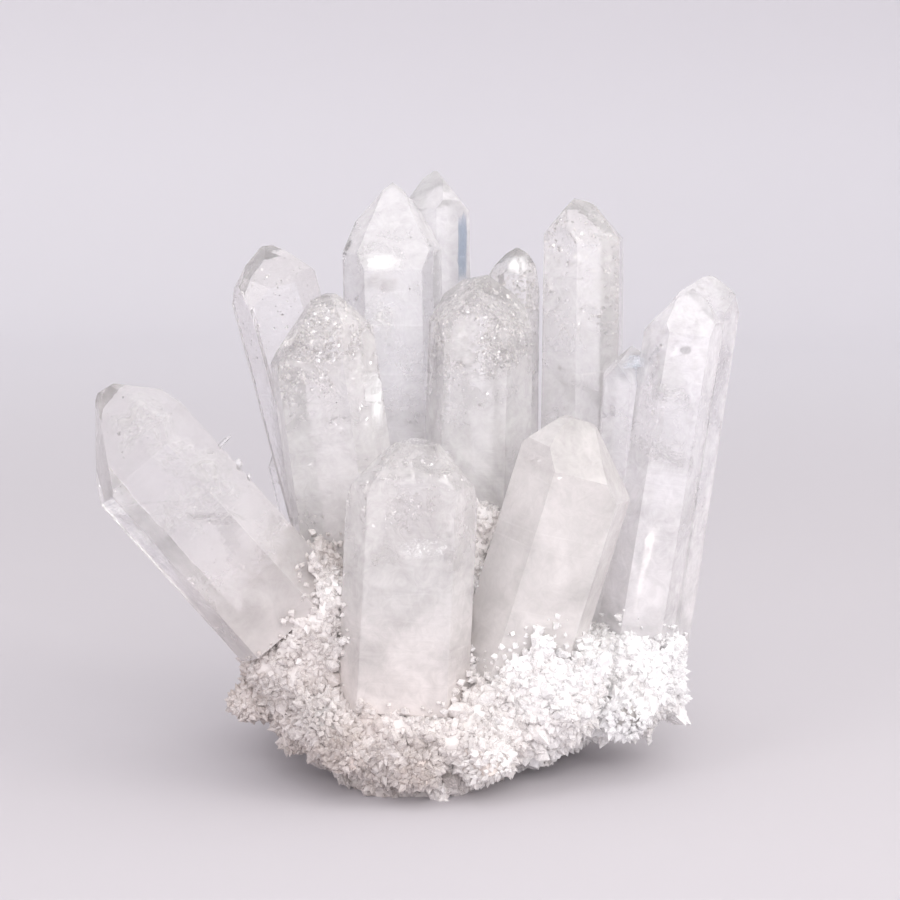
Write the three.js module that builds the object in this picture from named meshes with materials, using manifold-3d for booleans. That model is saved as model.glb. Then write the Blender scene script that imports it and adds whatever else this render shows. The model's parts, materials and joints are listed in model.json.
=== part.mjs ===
// Quartz crystal cluster: clear six-sided points that fan out of a crust of small quartz crystals (druse).
// Millimetres, +Z up. The fan opens towards -Y. The origin is on the table, under the middle of the cluster.
import * as THREE from "three";
import { ConvexGeometry } from "three/addons/geometries/ConvexGeometry.js";
import { mergeVertices } from "three/addons/utils/BufferGeometryUtils.js";
import Module from "manifold-3d";

const wasm = await Module();
wasm.setup();

// ---- Driving dimensions ----
const TIP_FACE_TILT = 51.8; // degrees from a crystal's long axis to the normal of its tip faces, the same in all quartz
const SEAT_GAP = 0.3; // clearance between a crystal and the crust or crystal that it grew against
const CRYSTAL_SEED = 11; // picks one arrangement of the small crystals on the crust

const QUARTZ = new THREE.MeshStandardMaterial({ color: 0xe9e6ea, roughness: 0.08, metalness: 0 });
const MILKY_QUARTZ = new THREE.MeshStandardMaterial({ color: 0xece8e4, roughness: 0.25, metalness: 0 });
const DRUSE = new THREE.MeshStandardMaterial({ color: 0xdfd8d4, roughness: 0.45, metalness: 0 });

// Each crystal runs from the middle of its root (foot) to its apex (tip).
// width and depth: across the prism from left to right and from front to back.
// turn: which way its first large tip face looks, in degrees about its own axis, 0 to the right and -90 to the front.
// minor: how far its three small tip faces stand back from the apex; major does the same for the large ones.
// shift: how far the prism stands to the right of the line through the apex, and behind it.
// uneven: how far each prism face stands out from the even shape, from the one under the first large tip face on.
// blunt: how much of the apex is chipped off.
// twins: crystals grown into the same piece.
const CRYSTALS = [
  { name: "crystal_front_center", foot: [-1.4, -16, 12], tip: [0.6, -17, 50.7],
    width: 17, depth: 10.5, turn: -90, minor: 1.2, major: [0, 0.5, 0], blunt: 2.5 },
  { name: "crystal_front_right", foot: [11.6, -10.5, 15], tip: [22.8, -12, 52.4], material: MILKY_QUARTZ,
    width: 15.4, depth: 12.5, turn: -80, minor: 0.8, major: [0, 0.6, 0.3], shift: [2, 0], blunt: 1.8 },
  { name: "crystal_front_left", foot: [-5.4, -2, 17], tip: [-12.2, -2, 68.4],
    width: 13.8, depth: 10, turn: -104, minor: 0.4, shift: [-1.3, 0], uneven: [0, 0, 0, 0, 0, 0.6] },
  { name: "crystal_center", foot: [7.6, 2, 16], tip: [8.8, 5.5, 69.8],
    width: 14, depth: 10.5, turn: 84, minor: 2.6, major: [0, 0, 0.4], shift: [0.8, 0] },
  { name: "crystal_far_left", foot: [-15.4, -7, 23.5], tip: [-43, -8, 55.2],
    width: 16.4, depth: 13, turn: -92, minor: 0.5, shift: [-1.6, -3] },
  { name: "crystal_right", foot: [30.4, -2, 12], tip: [38.6, -3, 67.6],
    width: 9.8, depth: 9.5, turn: -85, minor: 1, shift: [-0.4, 0],
    twins: [
      { foot: [34, 4, 12], tip: [42, 4, 69.4], width: 10.4, depth: 8, turn: 30, minor: 2, shift: [-1, 0] },
      { foot: [27.4, 0.5, 13], tip: [30.2, 0.5, 59.4], width: 7, depth: 8, turn: -60, minor: 1.5 },
    ] },
  { name: "crystal_back_left", foot: [-8, 9, 20], tip: [-21.6, 9, 72.9],
    width: 11.8, depth: 9.5, turn: -90, minor: 1.4, major: [0, 1, 0] },
  { name: "crystal_tall", foot: [-2.6, 24, 16], tip: [-3.6, 24, 81.2],
    width: 13.4, depth: 11, turn: -88, minor: 0.6, shift: [0, -4.2],
    twins: [
      { foot: [4.2, 27, 16], tip: [3.2, 27, 83], width: 9.8, depth: 8.5, turn: 0, minor: 0.8 },
    ] },
  { name: "crystal_back_right", foot: [23.4, 13.5, 14], tip: [23.8, 14, 79.8],
    width: 11.4, depth: 10, turn: -70, minor: 1, major: [0, 0, 0.5], shift: [0.6, 0] },
  { name: "crystal_back_point", foot: [13.6, 13.8, 18], tip: [14.7, 13.8, 72.8],
    width: 7.2, depth: 7, turn: -40, minor: 0.6 },
  { name: "crystal_rear_left", foot: [-9.5, 17, 13], tip: [-18, 29, 46],
    width: 11, depth: 10, turn: 90, minor: 1.6 },
  { name: "crystal_rear_center", foot: [8, 24, 11], tip: [10, 36.5, 50],
    width: 12, depth: 10, turn: 100, minor: 2, blunt: 1 },
  { name: "crystal_rear_right", foot: [18.5, 17, 9], tip: [28.5, 33.5, 40],
    width: 10.5, depth: 11, turn: 80, minor: 1.2, uneven: [0.8, 0, 0, -0.6, 0, 0] },
  { name: "crystal_low_right", foot: [29.5, 8, 8.5], tip: [38.5, 23, 35],
    width: 7.5, depth: 8, turn: 60, minor: 1 },
  { name: "crystal_low_left", foot: [-14.5, 8, 12], tip: [-26, 19, 35.5],
    width: 8.5, depth: 8, turn: 120, minor: 1.5 },
];

// Short points that stand in the crust's rim, each a piece of its own.
const RIM_POINTS = [
  { name: "rim_point_left", foot: [-15, -7, 12], tip: [-25.6, -9.5, 10],
    width: 4.2, depth: 3.8, turn: 10, minor: 0.6 },
  { name: "rim_point_front_left", foot: [-13, -16.5, 13], tip: [-7.4, -24.5, 5.5],
    width: 4.8, depth: 4.4, turn: -80, minor: 0.8 },
  { name: "rim_point_front", foot: [0, -17, 7], tip: [1, -26, 4],
    width: 5.6, depth: 4.8, turn: -95, minor: 0.8 },
  { name: "rim_point_front_right", foot: [8.5, -16, 8], tip: [10.4, -25, 4.6],
    width: 6, depth: 5.4, turn: -70, minor: 1 },
  { name: "rim_point_right", foot: [25, -7, 10.5], tip: [31.5, -14.5, 9],
    width: 5, depth: 4.6, turn: -60, minor: 0.8 },
  { name: "rim_point_back", foot: [2, 24, 8.5], tip: [0, 34.5, 5.5],
    width: 6.5, depth: 5.5, turn: 80, minor: 1 },
  { name: "rim_point_back_left", foot: [-14, 17, 10], tip: [-22.5, 25, 9],
    width: 5.5, depth: 5, turn: 130, minor: 0.8 },
];

// The crust's body: rounded lumps of quartz, grown together. at is a lump's middle and size its three half-lengths.
const LUMPS = [
  { at: [4, 6, 11], size: [27, 24, 14], points: 66 },
  { at: [-14, -6.5, 20], size: [10.5, 11.5, 13.5], points: 22 },
  { at: [29, 1, 13], size: [9.5, 12.5, 9.5], points: 20 },
  { at: [1, -12, 8], size: [18, 11.5, 9.5], points: 28 },
  { at: [17, -9, 13], size: [10, 11.5, 10], points: 18 },
  { at: [9, -6, 24], size: [7, 5, 15], points: 6 },
  { at: [4, 17, 13], size: [21, 15.5, 10], points: 24 },
];
const LUMP_DETAIL = 3; // the starting icosahedron's edges are cut in one more than this
const LUMP_WOBBLE = 0.06; // how far the surface swells and sinks, as a share of the lump's size

// ---- Shapes ----
const RADIANS = Math.PI / 180;

function solidFrom(geometry) {
  const bare = geometry.clone();
  for (const name of Object.keys(bare.attributes)) if (name !== "position") bare.deleteAttribute(name);
  const merged = mergeVertices(bare, 1e-4);
  return new wasm.Manifold(
    new wasm.Mesh({
      numProp: 3,
      vertProperties: merged.attributes.position.array,
      triVerts: new Uint32Array(merged.index.array),
    }),
  );
}

function geometryFrom(solid) {
  const { numProp, numVert, vertProperties, triVerts } = solid.getMesh();
  const positions = new Float32Array(numVert * 3);
  for (let i = 0; i < numVert; i++) {
    positions.set(vertProperties.subarray(i * numProp, i * numProp + 3), i * 3);
  }
  const indexed = new THREE.BufferGeometry();
  indexed.setAttribute("position", new THREE.BufferAttribute(positions, 3));
  indexed.setIndex(new THREE.BufferAttribute(triVerts, 1));
  const faceted = indexed.toNonIndexed();
  faceted.computeVertexNormals();
  return faceted;
}

function planeThrough(point, normal) {
  return new THREE.Plane().setFromNormalAndCoplanarPoint(normal, point);
}

// The corners of the convex body that lies behind every plane.
function cornersOf(planes) {
  const corners = [];
  const addCorner = (a, b, c) => {
    const bc = b.normal.clone().cross(c.normal);
    const spread = a.normal.dot(bc);
    if (Math.abs(spread) < 1e-6) return;
    const ca = c.normal.clone().cross(a.normal);
    const ab = a.normal.clone().cross(b.normal);
    const corner = bc
      .multiplyScalar(-a.constant)
      .addScaledVector(ca, -b.constant)
      .addScaledVector(ab, -c.constant)
      .divideScalar(spread);
    const inside = planes.every((plane) => plane.distanceToPoint(corner) < 1e-4);
    if (inside && !corners.some((other) => other.distanceTo(corner) < 1e-2)) corners.push(corner);
  };
  planes.forEach((a, i) => {
    planes.slice(i + 1).forEach((b, j) => {
      planes.slice(i + j + 2).forEach((c) => addCorner(a, b, c));
    });
  });
  return corners;
}

// One quartz point: six prism faces 60 degrees apart, six tip faces above them, and a flat root.
// grow moves every face outwards by that many millimetres.
function quartzPoint(crystal, grow = 0) {
  const { foot, tip, width, depth, turn, minor } = crystal;
  const { major = [0, 0, 0], shift = [0, 0], uneven = [0, 0, 0, 0, 0, 0], blunt = 0 } = crystal;
  const root = new THREE.Vector3(...foot);
  const apex = new THREE.Vector3(...tip);
  const along = apex.clone().sub(root).normalize();
  const across = new THREE.Vector3(1, 0, 0).addScaledVector(along, -along.x).normalize();
  const back = along.clone().cross(across);
  const planes = [
    planeThrough(root.clone().addScaledVector(along, -grow), along.clone().negate()),
    planeThrough(apex.clone().addScaledVector(along, grow - blunt), along),
  ];
  for (let face = 0; face < 6; face++) {
    const angle = (turn + 60 * face) * RADIANS;
    const [cos, sin] = [Math.cos(angle), Math.sin(angle)];
    const side = across.clone().multiplyScalar(cos).addScaledVector(back, sin);
    const even = Math.hypot((width / 2) * cos, (depth / 2) * sin);
    const reach = even + uneven[face] + shift[0] * cos + shift[1] * sin;
    planes.push(planeThrough(root.clone().addScaledVector(side, reach + grow), side));
    const slope = side
      .clone()
      .multiplyScalar(Math.sin(TIP_FACE_TILT * RADIANS))
      .addScaledVector(along, Math.cos(TIP_FACE_TILT * RADIANS));
    const setBack = face % 2 ? minor : major[face / 2];
    planes.push(planeThrough(apex.clone().addScaledVector(slope, setBack + grow), slope));
  }
  return solidFrom(new ConvexGeometry(cornersOf(planes)));
}

function crystalSolid(crystal, grow = 0) {
  const twins = crystal.twins ?? [];
  return twins.reduce((solid, twin) => solid.add(quartzPoint(twin, grow)), quartzPoint(crystal, grow));
}

function largestPiece(solid) {
  return solid.decompose().reduce((best, piece) => (piece.volume() > best.volume() ? piece : best));
}

// Every crystal stops short of the ones listed before it.
function crystalSolids(crystals) {
  const grown = crystals.map((crystal) => crystalSolid(crystal, SEAT_GAP));
  return crystals.map((crystal, i) =>
    largestPiece(grown.slice(0, i).reduce((solid, earlier) => solid.subtract(earlier), crystalSolid(crystal))),
  );
}

// Repeatable random numbers from 0 to 1.
function randomFrom(seed) {
  let state = seed;
  return () => {
    state = (state * 16807) % 2147483647;
    return state / 2147483647;
  };
}

function lumpSolid({ at, size }) {
  const geometry = new THREE.IcosahedronGeometry(1, LUMP_DETAIL);
  const positions = geometry.attributes.position;
  const point = new THREE.Vector3();
  for (let i = 0; i < positions.count; i++) {
    point.fromBufferAttribute(positions, i);
    const swell = Math.sin(5 * point.x + at[1]) * Math.cos(6 * point.y + at[0]) + Math.sin(7 * point.z + at[0]) / 2;
    point.multiplyScalar(1 + LUMP_WOBBLE * swell);
    positions.setXYZ(i, point.x * size[0] + at[0], point.y * size[1] + at[1], point.z * size[2] + at[2]);
  }
  return solidFrom(geometry);
}

// Small crystals that stand on a lump, spread evenly over it and leaning a little at random.
function lumpPoints({ at, size, points }, random) {
  const centre = new THREE.Vector3(...at);
  const goldenAngle = Math.PI * (3 - Math.sqrt(5));
  return Array.from({ length: points }, (_, i) => {
    const height = 1 - (2 * (i + 0.5)) / points;
    const ring = Math.sqrt(1 - height * height);
    const direction = new THREE.Vector3(ring * Math.cos(i * goldenAngle), ring * Math.sin(i * goldenAngle), height);
    const surface = direction.clone().multiply(new THREE.Vector3(...size)).add(centre);
    const outward = direction.clone().divide(new THREE.Vector3(...size)).normalize();
    outward.add(new THREE.Vector3(random() - 0.5, random() - 0.5, random() - 0.5).multiplyScalar(0.9)).normalize();
    const width = 2.6 + 2.4 * random();
    const proud = 1.2 + 1.8 * random();
    return {
      foot: surface.clone().addScaledVector(outward, -width).toArray(),
      tip: surface.clone().addScaledVector(outward, proud).toArray(),
      width,
      depth: width * (0.75 + 0.25 * random()),
      turn: 360 * random(),
      minor: 0.5 * random(),
    };
  });
}

function belowTable() {
  const reach = 200;
  return solidFrom(new THREE.BoxGeometry(reach, reach, reach).translate(0, 0, -reach / 2));
}

// The crust: lumps and their small crystals as one solid, cut flat at the table, with a socket for every crystal.
function crustSolid(seated) {
  const random = randomFrom(CRYSTAL_SEED);
  let crust = LUMPS.map(lumpSolid).reduce((joined, lump) => joined.add(lump));
  for (const lump of LUMPS) {
    for (const point of lumpPoints(lump, random)) crust = crust.add(quartzPoint(point));
  }
  crust = crust.subtract(belowTable());
  for (const crystal of seated) crust = crust.subtract(crystalSolid(crystal, SEAT_GAP));
  return largestPiece(crust);
}

function namedMesh(name, solid, material) {
  const mesh = new THREE.Mesh(geometryFrom(solid), material);
  mesh.name = name;
  return mesh;
}

// ---- The cluster ----
const grownOnCrust = [...CRYSTALS, ...RIM_POINTS];
const table = belowTable();
const pieces = new THREE.Group();
pieces.add(namedMesh("druse_crust", crustSolid(grownOnCrust), DRUSE));
crystalSolids(grownOnCrust).forEach((solid, i) => {
  const { name, material = QUARTZ } = grownOnCrust[i];
  pieces.add(namedMesh(name, solid.subtract(table), material));
});

// Stand the middle of the whole cluster's box over the origin.
const box = new THREE.Box3().setFromObject(pieces);
const middle = box.getCenter(new THREE.Vector3());
pieces.position.set(-middle.x, -middle.y, -box.min.z);

const cluster = new THREE.Group();
cluster.add(pieces);
export default cluster;
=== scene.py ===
import json
import math

import bmesh
import bpy
import numpy as np
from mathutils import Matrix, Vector, noise
from mathutils.bvhtree import BVHTree

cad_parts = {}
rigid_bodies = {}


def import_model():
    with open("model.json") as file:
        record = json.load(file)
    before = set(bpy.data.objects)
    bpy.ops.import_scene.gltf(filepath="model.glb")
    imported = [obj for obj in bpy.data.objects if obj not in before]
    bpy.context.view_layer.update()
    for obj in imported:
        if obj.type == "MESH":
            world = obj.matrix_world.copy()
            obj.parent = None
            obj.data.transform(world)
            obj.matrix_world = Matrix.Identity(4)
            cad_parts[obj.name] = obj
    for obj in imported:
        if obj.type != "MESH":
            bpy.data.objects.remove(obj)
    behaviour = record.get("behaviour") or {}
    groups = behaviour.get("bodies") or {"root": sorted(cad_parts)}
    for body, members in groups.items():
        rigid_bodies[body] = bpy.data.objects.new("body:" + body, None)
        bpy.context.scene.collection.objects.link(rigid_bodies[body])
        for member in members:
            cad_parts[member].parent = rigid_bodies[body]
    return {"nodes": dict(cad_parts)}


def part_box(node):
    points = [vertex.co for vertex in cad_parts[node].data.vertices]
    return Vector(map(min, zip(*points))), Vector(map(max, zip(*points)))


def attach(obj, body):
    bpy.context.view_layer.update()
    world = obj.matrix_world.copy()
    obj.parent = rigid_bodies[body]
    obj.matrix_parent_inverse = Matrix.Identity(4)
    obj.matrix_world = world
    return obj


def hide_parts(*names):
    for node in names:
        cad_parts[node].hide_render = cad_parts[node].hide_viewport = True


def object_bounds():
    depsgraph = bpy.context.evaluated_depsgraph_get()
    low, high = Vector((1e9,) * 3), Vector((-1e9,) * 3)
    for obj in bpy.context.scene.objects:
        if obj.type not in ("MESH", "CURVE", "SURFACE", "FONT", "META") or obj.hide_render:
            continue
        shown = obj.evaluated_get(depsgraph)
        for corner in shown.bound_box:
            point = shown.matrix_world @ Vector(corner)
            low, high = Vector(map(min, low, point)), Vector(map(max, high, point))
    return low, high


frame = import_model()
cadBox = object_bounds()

mm = 0.001
scene = bpy.context.scene
quartzIor = 1.544  # mean of the two rays


# small helpers

def linear(hexColour, alpha=1.0):
    parts = [int(hexColour[i : i + 2], 16) / 255 for i in (1, 3, 5)]
    return tuple(c / 12.92 if c <= 0.04045 else ((c + 0.055) / 1.055) ** 2.4 for c in parts) + (alpha,)


def addNode(tree, kind, settings=None, links=None):
    # settings are the node's own properties, links are its inputs: a socket is linked, a value is set
    node = tree.nodes.new(kind)
    for name, value in (settings or {}).items():
        setattr(node, name, value)
    for name, value in (links or {}).items():
        socket = node.inputs[name]
        if isinstance(value, bpy.types.NodeSocket):
            tree.links.new(value, socket)
        else:
            socket.default_value = value
    return node


def newMaterial(name):
    # an empty material, with its output and the object's own coordinates
    material = bpy.data.materials.new(name)
    material.use_nodes = True
    tree = material.node_tree
    tree.nodes.clear()
    output = tree.nodes.new("ShaderNodeOutputMaterial")
    place = addNode(tree, "ShaderNodeTexCoord").outputs["Object"]
    return material, tree, output, place


def setStops(rampNode, stops):
    ramp = rampNode.color_ramp
    while len(ramp.elements) < len(stops):
        ramp.elements.new(0.5)
    for element, (position, colour) in zip(ramp.elements, stops):
        element.position = position
        element.color = colour


def addObject(name, mesh, material, body="root"):
    piece = bpy.data.objects.new(name, mesh)
    scene.collection.objects.link(piece)
    mesh.materials.clear()
    mesh.materials.append(material)
    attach(piece, body)
    return piece


def meshFrom(name, vertices, faces):
    mesh = bpy.data.meshes.new(name)
    mesh.from_pydata([tuple(v) for v in vertices], [], [tuple(f) for f in faces])
    mesh.update()
    return mesh


def setAttribute(mesh, name, values, domain="POINT"):
    layer = mesh.attributes.new(name, "FLOAT", domain)
    layer.data.foreach_set("value", np.asarray(values, np.float32))


# materials

def rockCrystal(name, look):
    # Rock crystal with its own grown faces: glassy and nearly colourless. Clouds of tiny fluid bubbles
    # make it milky, most of all near the root. Fine growth lines cross the prism, and the tip is crackled.
    material, tree, output, place = newMaterial(name)
    cloud = addNode(tree, "ShaderNodeTexNoise", None, {
        "Vector": place, "Scale": 1000 / 8, "Detail": 3.0, "Roughness": 0.5, "Distortion": 0.8})
    wisps = addNode(tree, "ShaderNodeTexNoise", None, {
        "Vector": place, "Scale": 1000 / 2.2, "Detail": 5.0, "Roughness": 0.72, "Distortion": 1.8})
    rootward = addNode(tree, "ShaderNodeAttribute", {"attribute_name": "rootward"}).outputs["Fac"]
    tipward = addNode(tree, "ShaderNodeAttribute", {"attribute_name": "tipward"}).outputs["Fac"]
    uneven = addNode(tree, "ShaderNodeMath", {"operation": "MULTIPLY_ADD"}, {
        0: wisps.outputs["Fac"], 1: 0.5, 2: cloud.outputs["Fac"]})
    level = addNode(tree, "ShaderNodeMapRange", {"clamp": False}, {
        "Value": uneven.outputs[0], "From Min": 0.45, "From Max": 1.05,
        "To Min": look["haze"] - look["uneven"], "To Max": look["haze"] + look["uneven"]})
    rooted = addNode(tree, "ShaderNodeMath", {"operation": "MULTIPLY_ADD"}, {
        0: rootward, 1: look["rootHaze"], 2: level.outputs[0]})
    milkiness = addNode(tree, "ShaderNodeMath", {"operation": "MULTIPLY_ADD", "use_clamp": True}, {
        0: tipward, 1: look["tipHaze"], 2: rooted.outputs[0]})
    clearness = addNode(tree, "ShaderNodeMath", {"operation": "SUBTRACT"}, {
        0: 1.0, 1: milkiness.outputs[0]})
    tone = addNode(tree, "ShaderNodeMixRGB", None, {
        "Fac": cloud.outputs["Fac"], "Color1": linear(look["tint"][0]), "Color2": linear(look["tint"][1])})
    # iron stain rises a little way up from the crust
    rust = addNode(tree, "ShaderNodeMath", {"operation": "MULTIPLY", "use_clamp": True}, {
        0: rootward, 1: look["rust"]})
    stained = addNode(tree, "ShaderNodeMixRGB", None, {
        "Fac": rust.outputs[0], "Color1": tone.outputs[0], "Color2": linear("#f0dcd2")})
    dull = addNode(tree, "ShaderNodeMapRange", {"clamp": True}, {
        "Value": wisps.outputs["Fac"], "From Min": 0.42, "From Max": 0.75, "To Min": 0.03, "To Max": 0.2})
    # growth lines about 0.6 mm apart: noise read along the crystal's length only
    along = addNode(tree, "ShaderNodeAttribute", {"attribute_name": "alongAxis"}).outputs["Fac"]
    lines = addNode(tree, "ShaderNodeTexNoise", {"noise_dimensions": "1D"}, {
        "W": along, "Scale": 1.7, "Detail": 3.0, "Roughness": 0.55})
    prism = addNode(tree, "ShaderNodeAttribute", {"attribute_name": "prismFace"}).outputs["Fac"]
    lineHeight = addNode(tree, "ShaderNodeMath", {"operation": "MULTIPLY"}, {
        0: lines.outputs["Fac"], 1: prism})
    swell = addNode(tree, "ShaderNodeTexNoise", None, {
        "Vector": place, "Scale": 1000 / 3.5, "Detail": 3.0, "Roughness": 0.5})
    height = addNode(tree, "ShaderNodeMath", {"operation": "MULTIPLY_ADD"}, {
        0: lineHeight.outputs[0], 1: look["lines"], 2: swell.outputs["Fac"]})
    # crackle: cells about 0.6 mm across, strongest at the tip
    cells = addNode(tree, "ShaderNodeTexVoronoi", {"feature": "F1"}, {"Vector": place, "Scale": 1000 / 0.6})
    crackle = addNode(tree, "ShaderNodeMath", {"operation": "MULTIPLY"}, {
        0: cells.outputs["Distance"], 1: tipward})
    relief = addNode(tree, "ShaderNodeMath", {"operation": "MULTIPLY_ADD"}, {
        0: crackle.outputs[0], 1: look["crackle"], 2: height.outputs[0]})
    bump = addNode(tree, "ShaderNodeBump", None, {
        "Strength": 0.55, "Distance": 0.2 * mm, "Height": relief.outputs[0]})
    surface = addNode(tree, "ShaderNodeBsdfPrincipled", None, {
        "Base Color": stained.outputs[0], "Roughness": dull.outputs[0], "IOR": quartzIor,
        "Transmission Weight": clearness.outputs[0], "Normal": bump.outputs[0]})
    body = addNode(tree, "ShaderNodeVolumeAbsorption", None, {"Color": linear("#f0eef0"), "Density": 2.5})
    tree.links.new(surface.outputs[0], output.inputs["Surface"])
    tree.links.new(body.outputs[0], output.inputs["Volume"])
    return material


def sugaryDruse():
    # Druse: a sugar-like coat of small quartz crystals, white where it is clean and pinkish tan where iron
    # has stained it, and greyer towards the left and low down as painted shade. Each small crystal is
    # translucent with glassy faces.
    material, tree, output, place = newMaterial("sugary_druse_quartz")
    stain_and_shade = addNode(tree, "ShaderNodeAttribute", {"attribute_name": "stain_and_shade"}).outputs["Fac"]
    patches = addNode(tree, "ShaderNodeTexNoise", None, {
        "Vector": place, "Scale": 1000 / 5, "Detail": 4.0, "Roughness": 0.6})
    amount = addNode(tree, "ShaderNodeMath", {"operation": "MULTIPLY_ADD"}, {
        0: patches.outputs["Fac"], 1: 0.4, 2: stain_and_shade})
    colours = addNode(tree, "ShaderNodeValToRGB", None, {"Fac": amount.outputs[0]})
    # the darker stops show iron stain and painted shade alike
    setStops(colours, [(0.1, linear("#fdfcfc")), (0.35, linear("#f8f4f2")), (0.65, linear("#e8e1de")),
                       (1.0, linear("#c6bab4"))])
    grain = addNode(tree, "ShaderNodeTexNoise", None, {"Vector": place, "Scale": 1000 / 0.5, "Detail": 2.0})
    dull = addNode(tree, "ShaderNodeMapRange", {"clamp": True}, {
        "Value": grain.outputs["Fac"], "From Min": 0.35, "From Max": 0.7, "To Min": 0.14, "To Max": 0.4})
    clearness = addNode(tree, "ShaderNodeMapRange", {"clamp": True}, {
        "Value": patches.outputs["Fac"], "From Min": 0.35, "From Max": 0.65, "To Min": 0.06, "To Max": 0.3})
    bump = addNode(tree, "ShaderNodeBump", None, {
        "Strength": 0.3, "Distance": 0.05 * mm, "Height": grain.outputs["Fac"]})
    surface = addNode(tree, "ShaderNodeBsdfPrincipled", None, {
        "Base Color": colours.outputs[0], "Roughness": dull.outputs[0], "IOR": quartzIor,
        "Transmission Weight": clearness.outputs[0], "Normal": bump.outputs[0]})
    tree.links.new(surface.outputs[0], output.inputs["Surface"])
    return material


def crustQuartz():
    # Massive quartz under the druse: rough, dense and waxy, stained by iron in its hollows, and darker
    # towards the left and low down as painted shade.
    material, tree, output, place = newMaterial("massive_quartz_crust")
    patches = addNode(tree, "ShaderNodeTexNoise", None, {
        "Vector": place, "Scale": 1000 / 6, "Detail": 6.0, "Roughness": 0.65})
    stain_and_shade = addNode(tree, "ShaderNodeAttribute", {"attribute_name": "stain_and_shade"}).outputs["Fac"]
    amount = addNode(tree, "ShaderNodeMath", {"operation": "MULTIPLY_ADD"}, {
        0: patches.outputs["Fac"], 1: 0.45, 2: stain_and_shade})
    colours = addNode(tree, "ShaderNodeValToRGB", None, {"Fac": amount.outputs[0]})
    # the darker stops show iron stain and painted shade alike
    setStops(colours, [(0.2, linear("#faf8f7")), (0.6, linear("#efeae7")), (0.9, linear("#d8cec9")),
                       (1.0, linear("#b3a69f"))])
    pits = addNode(tree, "ShaderNodeTexVoronoi", None, {"Vector": place, "Scale": 1000 / 0.9})
    bump = addNode(tree, "ShaderNodeBump", None, {
        "Strength": 0.7, "Distance": 0.25 * mm, "Height": pits.outputs["Distance"]})
    surface = addNode(tree, "ShaderNodeBsdfPrincipled", None, {
        "Base Color": colours.outputs[0], "Roughness": 0.42, "IOR": quartzIor, "Normal": bump.outputs[0]})
    tree.links.new(surface.outputs[0], output.inputs["Surface"])
    return material


def sealedFilm(name, look):
    # A healed fracture or mineral film in the quartz: a curved sheet of tiny bubbles or dust, like a wisp.
    # Some are painted light instead: white painted highlights, a blue-grey painted reflection and a smoky
    # painted shadow.
    material, tree, output, place = newMaterial(name)
    wisps = addNode(tree, "ShaderNodeTexNoise", None, {
        "Vector": place, "Scale": 1000 / look["wisp"], "Detail": 7.0, "Roughness": 0.68, "Distortion": 1.2})
    inner = addNode(tree, "ShaderNodeAttribute", {"attribute_name": "inner"}).outputs["Fac"]
    shown = addNode(tree, "ShaderNodeMapRange", {"clamp": True}, {
        "Value": wisps.outputs["Fac"], "From Min": look["from"], "From Max": look["to"],
        "To Min": look["least"], "To Max": look["most"]})
    faded = addNode(tree, "ShaderNodeMath", {"operation": "MULTIPLY"}, {0: shown.outputs[0], 1: inner})
    tone = addNode(tree, "ShaderNodeMixRGB", None, {
        "Fac": wisps.outputs["Fac"], "Color1": linear(look["tint"][0]), "Color2": linear(look["tint"][1])})
    surface = addNode(tree, "ShaderNodeBsdfPrincipled", None, {
        "Base Color": tone.outputs[0], "Roughness": 0.35, "Alpha": faded.outputs[0]})
    tree.links.new(surface.outputs[0], output.inputs["Surface"])
    return material


def airFilm(name, look):
    # Open inner cracks hold a film of air and act as small mirrors: bright glints at the battered tips.
    # The cleanest ones lie just under the surface and show the lamps as white sparks.
    material, tree, output, place = newMaterial(name)
    patches = addNode(tree, "ShaderNodeTexNoise", None, {
        "Vector": place, "Scale": 1000 / look["patch"], "Detail": 3.0})
    tone = addNode(tree, "ShaderNodeMixRGB", None, {
        "Fac": patches.outputs["Fac"], "Color1": linear(look["tint"][0]), "Color2": linear(look["tint"][1])})
    dull = addNode(tree, "ShaderNodeMapRange", {"clamp": True}, {
        "Value": patches.outputs["Fac"], "From Min": 0.3, "From Max": 0.7,
        "To Min": look["dull"][0], "To Max": look["dull"][1]})
    surface = addNode(tree, "ShaderNodeBsdfPrincipled", None, {
        "Base Color": tone.outputs[0], "Metallic": look["mirror"], "Roughness": dull.outputs[0]})
    tree.links.new(surface.outputs[0], output.inputs["Surface"])
    return material


def mineralSpeck(name, tint, roughness):
    # A speck of another mineral, grown in just under a face.
    material, tree, output, place = newMaterial(name)
    patches = addNode(tree, "ShaderNodeTexNoise", None, {
        "Vector": place, "Scale": 1000 / 0.6, "Detail": 4.0})
    tone = addNode(tree, "ShaderNodeMixRGB", {"blend_type": "MULTIPLY"}, {
        "Fac": 0.6, "Color1": linear(tint), "Color2": patches.outputs["Color"]})
    surface = addNode(tree, "ShaderNodeBsdfPrincipled", None, {
        "Base Color": tone.outputs[0], "Roughness": roughness})
    tree.links.new(surface.outputs[0], output.inputs["Surface"])
    return material


# the crystals

crystalSettings = {
    "stepSpacing": 2.2 * mm,  # mean flat between two growth steps, besides twice a step's width
    "stepWidth": 0.22 * mm,
    "stepDepth": 0.02 * mm,
    "chipDepth": 0.55 * mm,
    "chipReach": 2.5 * mm,  # a chip takes nothing further than this from its corner
    "tipBreaks": 4,
    "tipReach": 2.6 * mm,
    "bevel": 0.17,
}


def solidOf(nodeName):
    solid = bmesh.new()
    solid.from_mesh(frame["nodes"][nodeName].data)
    bmesh.ops.remove_doubles(solid, verts=solid.verts, dist=0.002 * mm)
    bmesh.ops.dissolve_limit(solid, angle_limit=math.radians(0.6), verts=solid.verts, edges=solid.edges)
    return solid


def axisOf(solid):
    # the long prism edges give the crystal's axis
    longest = max(solid.edges, key=lambda edge: edge.calc_length())
    direction = (longest.verts[1].co - longest.verts[0].co).normalized()
    return direction if direction.z > 0 or abs(direction.z) < 0.3 and direction.y < 0 else -direction


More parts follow.
